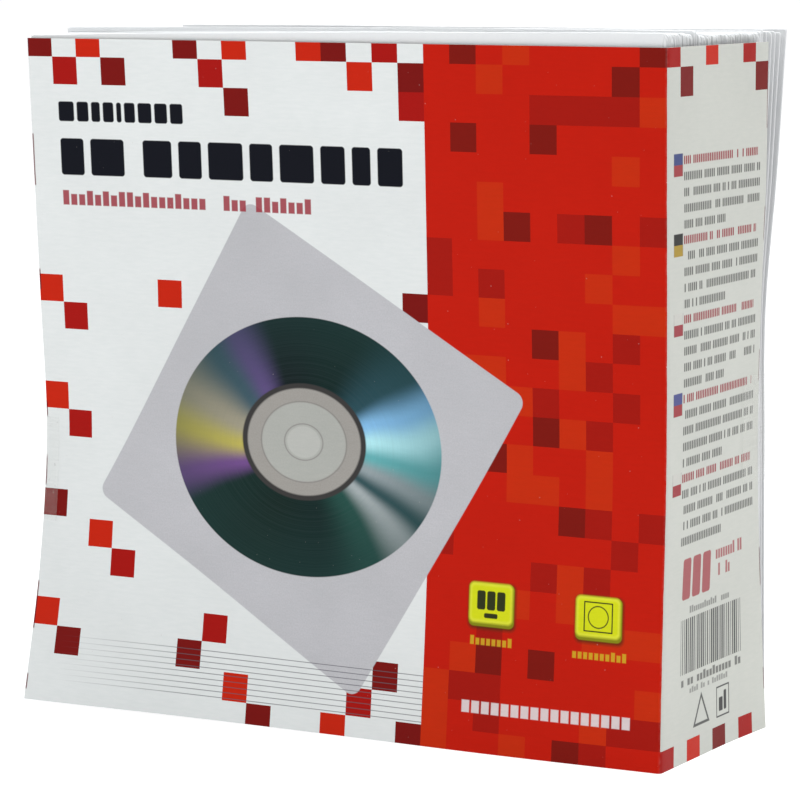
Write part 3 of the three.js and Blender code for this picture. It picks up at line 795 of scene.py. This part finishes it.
def printed_card():
    look = Look("printed_card")
    ink = look.vector_in("ink")
    u, v, _ = look.split(ink)
    colour = look.colour_in("cells")

    # a tilted grey square with a round disc
    c, s = math.cos(math.radians(-30.4)), math.sin(math.radians(-30.4))
    x, y = u - 55.3, v - 50.3
    a = x * c + y * s
    b = y * c - x * s
    dx, dy = (a.abs() - 29.8).most(0.0), (b.abs() - 29.8).most(0.0)
    square = (dx * dx + dy * dy)._do("SQRT").ramp(2.08, 1.92)
    grain = look.noise(ink, 3.4, 4.0, 0.7)
    wide = look.noise(ink, 0.035, 2.0)
    grey = look.mix(wide.ramp(0.35, 0.7), (0.560, 0.560, 0.590), (0.500, 0.502, 0.525))
    grey = look.mix(grain.ramp(0.38, 0.62) * 0.42, grey, (0.425, 0.428, 0.440))
    colour = look.mix(square, colour, grey)

    ex, ey = x / 27.1, y / 23.1
    away = (ex * ex + ey * ey)._do("SQRT")
    angle = ey._do("ARCTAN2", ex) / (2 * math.pi)
    angle = angle + (look.noise(ink, 0.045, 1.0) - 0.5) * 0.06 + away * 0.018
    around = (angle + 1.0).fract()
    teal, deep, night = (0.008, 0.040, 0.036), (0.003, 0.018, 0.016), (0.004, 0.011, 0.012)
    sheen = look.bands(
        around,
        [
            (0.00, (0.13, 0.44, 0.46)),
            (0.035, (0.46, 0.84, 0.90)),
            (0.075, (0.24, 0.52, 0.82)),
            (0.12, (0.02, 0.07, 0.09)),
            (0.20, deep),
            (0.30, night),
            (0.36, (0.11, 0.075, 0.21)),
            (0.40, (0.05, 0.10, 0.13)),
            (0.46, (0.36, 0.33, 0.24)),
            (0.51, (0.50, 0.44, 0.10)),
            (0.56, (0.17, 0.075, 0.26)),
            (0.60, (0.004, 0.022, 0.018)),
            (0.70, (0.004, 0.018, 0.014)),
            (0.78, deep),
            (0.86, (0.016, 0.075, 0.060)),
            (0.905, (0.38, 0.43, 0.44)),
            (0.93, (0.03, 0.08, 0.09)),
            (0.965, (0.30, 0.36, 0.38)),
            (1.00, (0.13, 0.44, 0.46)),
        ],
    )
    sheen = look.mix(away.ramp(0.5, 1.0) * 0.45, sheen, teal)
    fine = look.chance(look.join((away * 260.0).floor(), 2.0))
    sheen = look.mix(fine * 0.07, sheen, (0.10, 0.14, 0.15))
    disc = away.ramp(1.004, 0.996)
    colour = look.mix(disc, colour, sheen)
    hub_x, hub_y = (u - 54.9) / 12.6, (v - 51.2) / 10.4
    hub = (hub_x * hub_x + hub_y * hub_y)._do("SQRT")
    colour = look.mix(hub.ramp(1.012, 0.988), colour, (0.045, 0.043, 0.042))
    colour = look.mix(hub.ramp(0.93, 0.90), colour, look.mix(grain, (0.30, 0.285, 0.26), (0.41, 0.395, 0.37)))
    colour = look.mix(hub.ramp(0.70, 0.66), colour, look.mix(grain, (0.38, 0.39, 0.36), (0.48, 0.49, 0.46)))
    colour = look.mix(look.ring(hub * 10.0, 6.9, 0.22) * 0.6, colour, (0.22, 0.21, 0.20))
    colour = look.mix(look.ring(hub * 10.0, 3.1, 0.22) * 0.75, colour, (0.26, 0.25, 0.24))
    colour = look.mix(hub.ramp(0.28, 0.26) * 0.35, colour, (0.62, 0.63, 0.60))

    # two rows of dark blocks, then a row of small red ones
    navy = (0.0035, 0.0045, 0.0095)
    for x0, x1 in ((5.6, 10.9), (11.8, 19.2), (22.6, 29.0), (29.9, 35.1), (36.0, 43.6), (44.5, 49.7), (50.6, 58.0), (58.9, 64.3), (65.2, 69.4), (70.3, 75.8)):
        colour = look.mix(look.tile(u, v, x0 + 0.25, 97.2, x1 - 0.25, 103.9, 0.6), colour, navy)
    for k, (x0, x1) in enumerate(
        ((5.8, 9.0), (9.6, 12.0), (12.6, 14.4), (15.0, 17.2), (17.8, 18.8), (19.4, 21.6), (22.2, 25.0), (25.6, 28.2), (28.8, 31.4))
    ):
        colour = look.mix(look.tile(u, v, x0, 107.0, x1, 110.6, 0.45), colour, navy)
    words = look.blocks(u, v, 5.7, 91.7, 31, 1.66, 2.0, 3.0, gap=0.17, fill=0.76, tall=0.4)
    colour = look.mix(words * 0.92, colour, (0.33, 0.022, 0.040))

    # the two yellow tiles, each with a plain sign, and their captions
    for x0, y0, sign in ((88.4, 22.1, "rows"), (108.7, 21.6, "frame")):
        x1, y1 = x0 + 8.5, y0 + 7.3
        shade = look.tile(u, v, x0 - 0.1, y0 - 0.8, x1 + 0.5, y1 + 0.1, 1.1, 0.7)
        colour = look.mix(shade * 0.75, colour, (0.045, 0.022, 0.004))
        colour = look.mix(look.tile(u, v, x0, y0 - 0.3, x1 + 0.2, y1, 1.0), colour, (0.235, 0.245, 0.008))
        colour = look.mix(look.tile(u, v, x0 + 0.1, y0 + 0.35, x1 - 0.15, y1, 0.9, 0.5), colour, (0.72, 0.75, 0.040))
        colour = look.mix(look.tile(u, v, x0 + 0.55, y0 + 0.9, x1 - 0.6, y1 - 0.55, 0.6, 0.3), colour, (0.66, 0.71, 0.010))
        dark = (0.030, 0.036, 0.010)
        cx, cy = (x0 + x1) / 2, (y0 + y1) / 2 + 0.15
        if sign == "rows":
            for k in range(3):
                colour = look.mix(look.tile(u, v, cx - 2.7 + k * 1.9, cy - 1.2, cx - 1.1 + k * 1.9, cy + 2.1, 0.4), colour, dark)
            colour = look.mix(look.tile(u, v, cx - 1.3, cy - 2.6, cx + 1.3, cy - 1.75, 0.3), colour, dark)
        else:
            for inset, paint in ((0.0, dark), (0.22, (0.66, 0.71, 0.010))):
                colour = look.mix(
                    look.tile(u, v, cx - 2.7 + inset, cy - 2.6 + inset, cx + 2.7 - inset, cy + 2.6 - inset, 0.05, 0.1), colour, paint
                )
            qx, qy = u - cx, v - cy
            far = (qx * qx + qy * qy)._do("SQRT")
            colour = look.mix(look.ring(far, 1.85, 0.2), colour, dark)
    caption = look.blocks(u, v, 88.7, 18.6, 8, 1.03, 1.15, 7.0, gap=0.0, fill=0.7, tall=0.35)
    caption = caption.most(look.blocks(u, v, 107.1, 18.1, 11, 1.03, 1.15, 8.0, gap=0.12, fill=0.7, tall=0.35))
    colour = look.mix(caption * 0.85, colour, (0.62, 0.40, 0.02))
    foot = look.blocks(u, v, 87.5, 6.8, 17, 1.88, 2.1, 12.0, gap=0.06, fill=0.78, tall=0.0)
    colour = look.mix(foot * 0.92, colour, (0.74, 0.66, 0.66))

    # thin rules across the foot of the white field
    rules = ((v - 3.6).fract() - 0.5).abs().ramp(0.10, 0.045)
    field = look.bar(u, v, 6.0, 3.9, RED_FROM, 12.4, 0.05)
    fade = u.ramp(6.0, 34.0)
    colour = look.mix(rules * field * fade * 0.74, colour, (0.10, 0.10, 0.12))

    # the side panel: five groups of lines, each with a small two-colour mark
    down = 104.3 - v
    group = (down / 13.5).floor()
    row = down - group * 13.5
    line = (row / 2.72).floor()
    within = row - line * 2.72
    valid = group.over(-0.5) * group.under(4.5)
    along = u - 131.3
    cell = look.chance(look.join(((along + line * 0.7) / 0.74).floor(), line, group))
    stroke = ((((along + line * 0.7) / 0.74).fract() - 0.5).abs() - 0.33).ramp(0.04, -0.04)
    last = line.over(3.5)
    reach = 31.0 - last * 14.0 - line.under(0.5) * 1.0
    run = along.over(0.0) * along.under(reach)
    body = (within - 1.25).abs().ramp(0.80, 0.62)
    lines_ = stroke * cell.over(0.15) * body * run * valid
    first = line.under(0.5)
    colour = look.mix(lines_ * first * 0.95, colour, (0.31, 0.022, 0.035))
    colour = look.mix(lines_ * (1.0 - first) * 0.84, colour, (0.065, 0.065, 0.062))
    mark_row = (row - 2.0).abs().ramp(1.98, 1.86) * valid
    mark_at = mark_row * (u - 129.2).abs().ramp(1.80, 1.66)
    # the pale grey (0.62, 0.62, 0.58) in these marks is the card white painted darker as shade, like the side panel's
    # white
    upper = look.bands(group / 5.0, [(0.0, (0.05, 0.07, 0.22)), (0.19, (0.02, 0.02, 0.02)), (0.2, (0.02, 0.02, 0.02)), (0.39, (0.62, 0.62, 0.58)), (0.4, (0.62, 0.62, 0.58)), (0.59, (0.07, 0.08, 0.26)), (0.6, (0.07, 0.08, 0.26)), (0.79, (0.62, 0.62, 0.58)), (0.8, (0.62, 0.62, 0.58))])
    lower = look.bands(group / 5.0, [(0.0, (0.36, 0.04, 0.05)), (0.19, (0.42, 0.28, 0.03)), (0.2, (0.42, 0.28, 0.03)), (0.39, (0.05, 0.07, 0.22)), (0.4, (0.36, 0.04, 0.05)), (0.79, (0.34, 0.03, 0.04))])
    mark = look.mix(row.over(2.0), upper, lower)
    colour = look.mix(mark_at * 0.97, colour, mark)
    edge = mark_row * look.ring((u - 129.2).abs(), 1.76, 0.14, 0.1)
    colour = look.mix(edge * 0.5, colour, (0.14, 0.12, 0.12))

    # a group of red shapes, then a block of bars and two plain outlines
    claret = (0.37, 0.045, 0.060)
    lean_u = u - (v - 31.0) * 0.06
    for x0, x1 in ((132.6, 135.9), (136.7, 140.0), (140.8, 144.1)):
        colour = look.mix(look.tile(lean_u, v, x0, 28.0, x1, 35.0, 0.6) * 0.88, colour, claret)
    colour = look.mix(look.blocks(u, v, 146.2, 33.0, 11, 1.02, 1.6, 21.0, gap=0.1) * 0.8, colour, claret)
    colour = look.mix(look.blocks(u, v, 146.2, 30.0, 6, 1.02, 1.6, 22.0, gap=0.1) * 0.8, colour, claret)
    colour = look.mix(look.blocks(u, v, 135.6, 25.4, 19, 0.86, 0.9, 23.0, gap=0.12) * 0.65, colour, (0.10, 0.10, 0.10))
    at = u / 0.78
    wide_ = look.chance(look.join(at.floor(), 31.0)) * 0.26 + 0.12
    stripe = ((at.fract() - 0.5).abs() - wide_).ramp(0.06, -0.06)
    bars = stripe * look.bar(u, v, 132.2, 15.2, 156.4, 24.6, 0.1)
    colour = look.mix(bars * 0.9, colour, (0.035, 0.035, 0.038))
    colour = look.mix(look.blocks(u, v, 132.4, 13.1, 19, 1.26, 1.15, 24.0, gap=0.08) * 0.75, colour, (0.06, 0.06, 0.06))
    colour = look.mix(look.blocks(u, v, 135.8, 11.6, 17, 0.9, 0.75, 25.0, gap=0.12) * 0.6, colour, (0.12, 0.12, 0.12))
    tx = (u - 140.6).abs()
    roof = (tx * 0.86 + (v - 7.6) * 0.5 - 1.45).most((v - 5.6) * -1.0)
    colour = look.mix((roof.abs() - 0.24).ramp(0.07, -0.07) * 0.9, colour, (0.06, 0.06, 0.06))
    # the outline's inside is the side panel's white, painted darker as shade
    for inset, paint in ((0.0, (0.07, 0.07, 0.07)), (0.26, SHADED_SIDE_WHITE)):
        colour = look.mix(look.tile(u, v, 146.6 + inset, 5.2 + inset, 151.6 - inset, 10.6 - inset, 0.1, 0.1), colour, paint)
    colour = look.mix(look.tile(u, v, 147.6, 6.2, 149.1, 8.6, 0.2), colour, (0.07, 0.07, 0.07))
    colour = look.mix(look.tile(u, v, 149.5, 6.2, 150.5, 9.6, 0.3), colour, (0.07, 0.07, 0.07))

    # ink that bled over the cut edges, ink lost along the fold, print mottle and scuffs
    bleed_here = look.noise(look.join(v * 0.085, 3.0), 1.0, 1.0)
    left_bleed = u.ramp(0.32, 0.26) * bleed_here.ramp(0.555, 0.57)
    right_bleed = u.ramp(164.72, 164.78) * bleed_here.ramp(0.45, 0.43)
    colour = look.mix(left_bleed.most(right_bleed) * 0.8, colour, (0.13, 0.012, 0.020))
    chips = look.noise(look.join(u * 1.5, v * 0.62), 1.0, 4.0, 0.7)
    near = (u - 125.05).abs().ramp(0.62, 0.10)
    where = look.noise(look.join(v * 0.055, 7.0), 1.0, 1.0).ramp(0.47, 0.62)
    worn = (chips + near * 0.20 + where * 0.10 - 0.915).ramp(0.0, 0.03) * near.over(0.02)
    colour = look.mix(worn * 0.9, colour, (0.80, 0.79, 0.77))
    pale = (u - 125.0).abs().ramp(0.55, 0.0) * look.noise(ink, 0.9, 3.0).ramp(0.35, 0.75)
    colour = look.mix(pale * 0.10, colour, (0.78, 0.76, 0.74))
    mottle = look.noise(look.join(u * 0.35, v * 1.8), 1.0, 3.0, 0.6)
    colour = look.mix(mottle.ramp(0.35, 0.75), colour, look.mix(1.0, colour, (1.05, 1.04, 1.04), "MULTIPLY"))
    cloud = look.noise(ink, 0.06, 2.0)
    colour = look.mix(cloud.ramp(0.3, 0.75) * 0.04, colour, (0.0, 0.0, 0.0))
    speck = look.noise(ink, 1.9, 0.0).over(0.875)
    colour = look.mix(speck * 0.22, colour, (0.55, 0.50, 0.48))
    look.link(colour, "Base Color")
    look.set(Specular_IOR_Level=0.09, IOR=1.45)
    rough = look.noise(ink, 0.5, 2.0, 0.65) * 0.16 + 0.34 + worn * 0.3
    look.link(rough, "Roughness")
    fibre = look.noise(look.join(u * 2.6, v * 4.2), 1.0, 2.0, 0.7)
    slow = look.noise(ink, 0.11, 2.0, 0.4)
    normal = look.bump(slow, 0.30, 0.00025)
    normal = look.bump(fibre - worn * 0.8, 0.16, 0.00003, normal)
    look.link(normal, "Normal")
    return look.material


def board():
    """The card's unprinted back and its cut edges."""
    look = Look("card_board")
    ink = look.vector_in("ink")
    u, v, _ = look.split(ink)
    fibre = look.noise(look.join(u * 0.9, v * 2.6), 1.0, 5.0, 0.7)
    fleck = look.noise(ink, 2.1, 2.0).ramp(0.68, 0.8)
    colour = look.mix(fibre.ramp(0.3, 0.75), (0.60, 0.585, 0.545), (0.72, 0.705, 0.665))
    colour = look.mix(fleck * 0.35, colour, (0.42, 0.39, 0.34))
    look.link(colour, "Base Color")
    look.link(fibre * 0.2 + 0.68, "Roughness")
    look.set(Specular_IOR_Level=0.3)
    look.link(look.bump(fibre, 0.35, 0.00005), "Normal")
    return look.material


def envelope_paper():
    look = Look("envelope_paper")
    ink = look.vector_in("ink")
    x, z, tone = look.split(ink)
    fibre = look.noise(look.join(x * 1.6, z * 0.9, tone * 40.0), 1.0, 5.0, 0.72)
    cloud = look.noise(look.join(x * 0.12, z * 0.12, tone * 40.0), 1.0, 3.0)
    colour = look.mix(fibre.ramp(0.3, 0.72), (0.845, 0.862, 0.874), (0.890, 0.902, 0.908))
    colour = look.mix(cloud.ramp(0.35, 0.7) * 0.35, colour, (0.835, 0.850, 0.868))
    colour = look.mix(tone * 0.40, colour, (0.790, 0.800, 0.815))
    # the folds' crests catch a little dust, and the glued seams show through as a faint tint
    rise = (x.abs() - (HALF - 6.0)).ramp(0.0, 0.35) * x.abs().ramp(HALF - 0.2, HALF - 0.7)
    colour = look.mix(rise * 0.10, colour, (0.72, 0.74, 0.77))
    scuff = look.noise(look.join(x * 0.8, z * 0.8, tone * 9.0), 1.0, 4.0, 0.7).ramp(0.66, 0.8)
    colour = look.mix(scuff * 0.12, colour, (0.66, 0.66, 0.66))
    look.link(colour, "Base Color")
    look.link(fibre * 0.22 + 0.58, "Roughness")
    look.set(Specular_IOR_Level=0.28)
    normal = look.bump(cloud, 0.25, 0.0002)
    look.link(look.bump(fibre, 0.30, 0.00004, normal), "Normal")
    return look.material


def clear_film():
    look = Look("window_film")
    ink = look.vector_in("ink")
    x, z, _ = look.split(ink)
    waves = look.noise(look.join(x * 0.05, z * 0.09), 1.0, 3.0)
    fine = look.noise(look.join(x * 0.7, z * 0.14), 1.0, 4.0, 0.7)
    look.link(look.mix(waves, (0.86, 0.90, 0.93), (0.93, 0.95, 0.97)), "Base Color")
    look.link(fine.ramp(0.55, 0.8) * 0.10 + 0.20, "Alpha")
    look.link(fine * 0.10 + 0.06, "Roughness")
    look.set(Specular_IOR_Level=0.9, IOR=1.5)
    normal = look.bump(waves, 0.5, 0.0006)
    look.link(look.bump(fine, 0.15, 0.00003, normal), "Normal")
    return look.material


def clear_tape():
    look = Look("clear_tape")
    node = look.tree.nodes.new("ShaderNodeTexCoord")
    place = Value(look.tree, node.outputs["Object"])
    scale = look.tree.nodes.new("ShaderNodeVectorMath")
    scale.operation = "SCALE"
    look.tree.links.new(place.socket, scale.inputs[0])
    scale.inputs["Scale"].default_value = 1000.0
    mm = Value(look.tree, scale.outputs[0])
    x, y, z = look.split(mm)
    drag = look.noise(look.join(x * 0.18, y * 0.18, z * 2.2), 1.0, 4.0, 0.65)
    bubble = look.noise(mm, 0.9, 2.0, 0.5).ramp(0.66, 0.72)
    look.link(look.mix(drag, (0.80, 0.80, 0.76), (0.90, 0.90, 0.86)), "Base Color")
    look.link((drag.ramp(0.45, 0.8) * 0.035 + 0.045 + bubble * 0.08).hold(), "Alpha")
    look.link(drag * 0.14 + 0.12, "Roughness")
    look.set(Specular_IOR_Level=0.8, IOR=1.48)
    look.link(look.bump(drag + bubble * 0.6, 0.25, 0.00006), "Normal")
    return look.material


def floor_paint():
    look = Look("floor")
    node = look.tree.nodes.new("ShaderNodeTexCoord")
    place = Value(look.tree, node.outputs["Object"])
    cloud = look.noise(place, 6.0, 3.0)
    look.link(look.mix(cloud, (0.33, 0.33, 0.33), (0.37, 0.37, 0.37)), "Base Color")
    look.link(look.mix(cloud, (0.99, 0.99, 1.0), (1.0, 1.0, 1.0)), "Emission Color")
    look.set(Roughness=0.9, Specular_IOR_Level=0.0, Emission_Strength=FLOOR_GLOW)
    return look.material


# ---- the scene ------------------------------------------------------------------------------
FLOOR_GLOW = 0.87
PRINTED, BOARD, PAPER_LOOK, FILM, TAPE = printed_card(), board(), envelope_paper(), clear_film(), clear_tape()

card = make_card(PRINTED, BOARD)
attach(card, "root")
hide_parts("card_wrap")

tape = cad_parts["tape_strip"]
tape.data.materials.clear()
tape.data.materials.append(TAPE)


def envelope(name, built, nodes):
    points, quads, ink = built
    obj = piece(name, points, quads, [PAPER_LOOK], ink)
    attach(obj, "root")
    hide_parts(*nodes)
    return obj


for i in range(ENVELOPES):
    if 27 <= i <= 71:
        continue
    node_name = f"envelope_{i + 1:03d}"
    if i in (0, 99):
        shown = envelope(f"{node_name}_paper", joined([window_leaf(i), flap(i)]), [node_name])
        outward(shown)
        sharpen(shown, 60)
        points, quads, ink = film_disc(i)
        film = piece(f"{node_name}_film", points, quads, [FILM], ink)
        outward(film)
        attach(film, "root")
        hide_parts(f"{node_name}_window_film")
    else:
        envelope(f"{node_name}_paper", folded_leaf(i), [node_name])
envelope(
    "envelopes_028_to_072_paper",
    joined([folded_leaf(i, 12.0) for i in range(27, 72)]),
    ["envelope_block_028_to_072"],
)

# ---- floor, light ----------------------------------------------------------------------------
bpy.ops.mesh.primitive_plane_add(size=40, location=(0, 0, -0.00002))
floor = bpy.context.object
floor.name = "floor"
floor.data.materials.append(floor_paint())

world = bpy.data.worlds.new("studio")
bpy.context.scene.world = world
world.use_nodes = True
sky = world.node_tree.nodes["Background"]
sky.inputs["Color"].default_value = (0.985, 0.995, 1.0, 1.0)
sky.inputs["Strength"].default_value = 0.41


def softbox(name, place, target, size, watts, colour):
    light = bpy.data.lights.new(name, "AREA")
    light.shape, light.size, light.energy, light.color = "DISK", size, watts, colour
    obj = bpy.data.objects.new(name, light)
    bpy.context.scene.collection.objects.link(obj)
    obj.location = place
    obj.rotation_mode = "QUATERNION"
    obj.rotation_quaternion = (Vector(target) - Vector(place)).to_track_quat("-Z", "Y")
    return obj


softbox("key", (-0.60, -1.30, 0.75), (0, 0, 0.03), 0.9, 4.5, (0.97, 0.99, 1.0))
softbox("fill", (1.3, -0.2, 0.5), (0, 0, 0.03), 0.8, 0.30, (1.0, 0.975, 0.93))
softbox("top", (0.12, 0.30, 1.5), (0, 0, 0.1), 1.0, 26.0, (1.0, 1.0, 1.0))

# print on paper needs few bounces of light
bounces = getattr(bpy.context.scene, "cycles", None)
if bounces:
    bounces.max_bounces, bounces.diffuse_bounces, bounces.glossy_bounces = 4, 2, 1

bpy.context.scene.view_settings.view_transform = "Standard"
bpy.context.scene.view_settings.look = "None"
